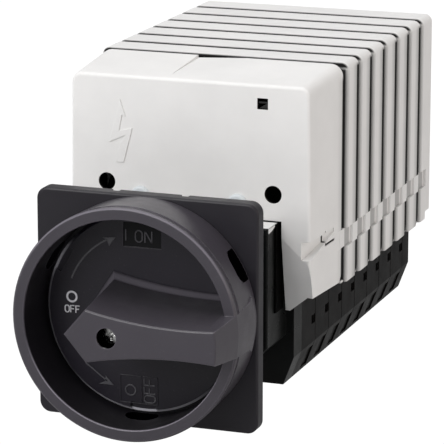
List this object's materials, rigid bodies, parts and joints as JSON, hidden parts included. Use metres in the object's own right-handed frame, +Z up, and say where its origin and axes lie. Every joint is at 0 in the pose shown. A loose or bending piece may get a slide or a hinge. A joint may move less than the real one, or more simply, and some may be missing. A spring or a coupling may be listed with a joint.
{
  "type": "cam switch",
  "caption": "Panel-mounted rotary cam switch with a padlockable ring handle on a square plate, stacked contact chambers and a pale terminal hood.",
  "frame": {"origin": "on the switching axis, in the panel plane, which is the rear face of the front plate", "axes": "+X to the operator's right, +Y from the operator through the panel to the rear, +Z up; the handle is stored at OFF, with its pointer to -X"},
  "size_m": [0.1052, 0.2603, 0.1292],
  "materials": {
    "black_plastic": "fine satin",
    "housing_plastic": "moulded satin",
    "hood_plastic": "moulded matt",
    "white_plastic": "moulded matt",
    "steel": "zinc plated",
    "contact_metal": "plain copper alloy",
    "seal_rubber": "smooth"
  },
  "bodies": {
    "housing": {"front_plate": "black_plastic", "dial_disc": "black_plastic", "panel_gasket": "seal_rubber", "mounting_collar": "black_plastic", "panel_screws": "steel", "latch_housing": "housing_plastic", "contact_chamber_1": "housing_plastic", "contact_chamber_2": "housing_plastic", "contact_chamber_3": "housing_plastic", "contact_chamber_4": "housing_plastic", "contact_chamber_5": "housing_plastic", "contact_chamber_6": "housing_plastic", "contact_chamber_7": "housing_plastic", "contact_chamber_8": "housing_plastic", "line_terminals": "contact_metal", "load_terminals": "contact_metal", "terminal_screws": "steel", "contact_springs": "steel", "rear_plate": "housing_plastic", "tie_rods": "steel", "hood_front": "hood_plastic", "hood_slice_1": "hood_plastic", "hood_slice_2": "hood_plastic", "hood_slice_3": "hood_plastic", "hood_slice_4": "hood_plastic", "hood_slice_5": "hood_plastic", "hood_slice_6": "hood_plastic", "hood_slice_7": "hood_plastic", "hood_screws": "steel"},
    "rotor": {"rotary_handle": "black_plastic", "handle_screw": "steel", "switch_shaft": "steel", "index_wheel": "white_plastic", "switching_cam_1": "white_plastic", "switching_cam_2": "white_plastic", "switching_cam_3": "white_plastic", "switching_cam_4": "white_plastic", "switching_cam_5": "white_plastic", "switching_cam_6": "white_plastic", "switching_cam_7": "white_plastic", "switching_cam_8": "white_plastic"},
    "right_contacts": {"right_contact_bridges": "contact_metal", "right_plungers": "white_plastic"},
    "left_contacts": {"left_contact_bridges": "contact_metal", "left_plungers": "white_plastic"}
  },
  "joints": [
    {"name": "handle_turn", "type": "hinge", "parent": "housing", "child": "rotor", "pos_m": [0, 0, 0], "axis": [0, 1, 0], "range_deg": [0, 90]},
    {"name": "right_contact_slide", "type": "slide", "parent": "housing", "child": "right_contacts", "axis": [-1, 0, 0], "range_m": [0, 0.003]},
    {"name": "left_contact_slide", "type": "slide", "parent": "housing", "child": "left_contacts", "axis": [1, 0, 0], "range_m": [0, 0.003]}
  ],
  "couplings": [
    {"joint": "right_contact_slide", "follows": "handle_turn", "m_per_rad": 0.0019},
    {"joint": "left_contact_slide", "follows": "handle_turn", "m_per_rad": 0.0019}
  ]
}
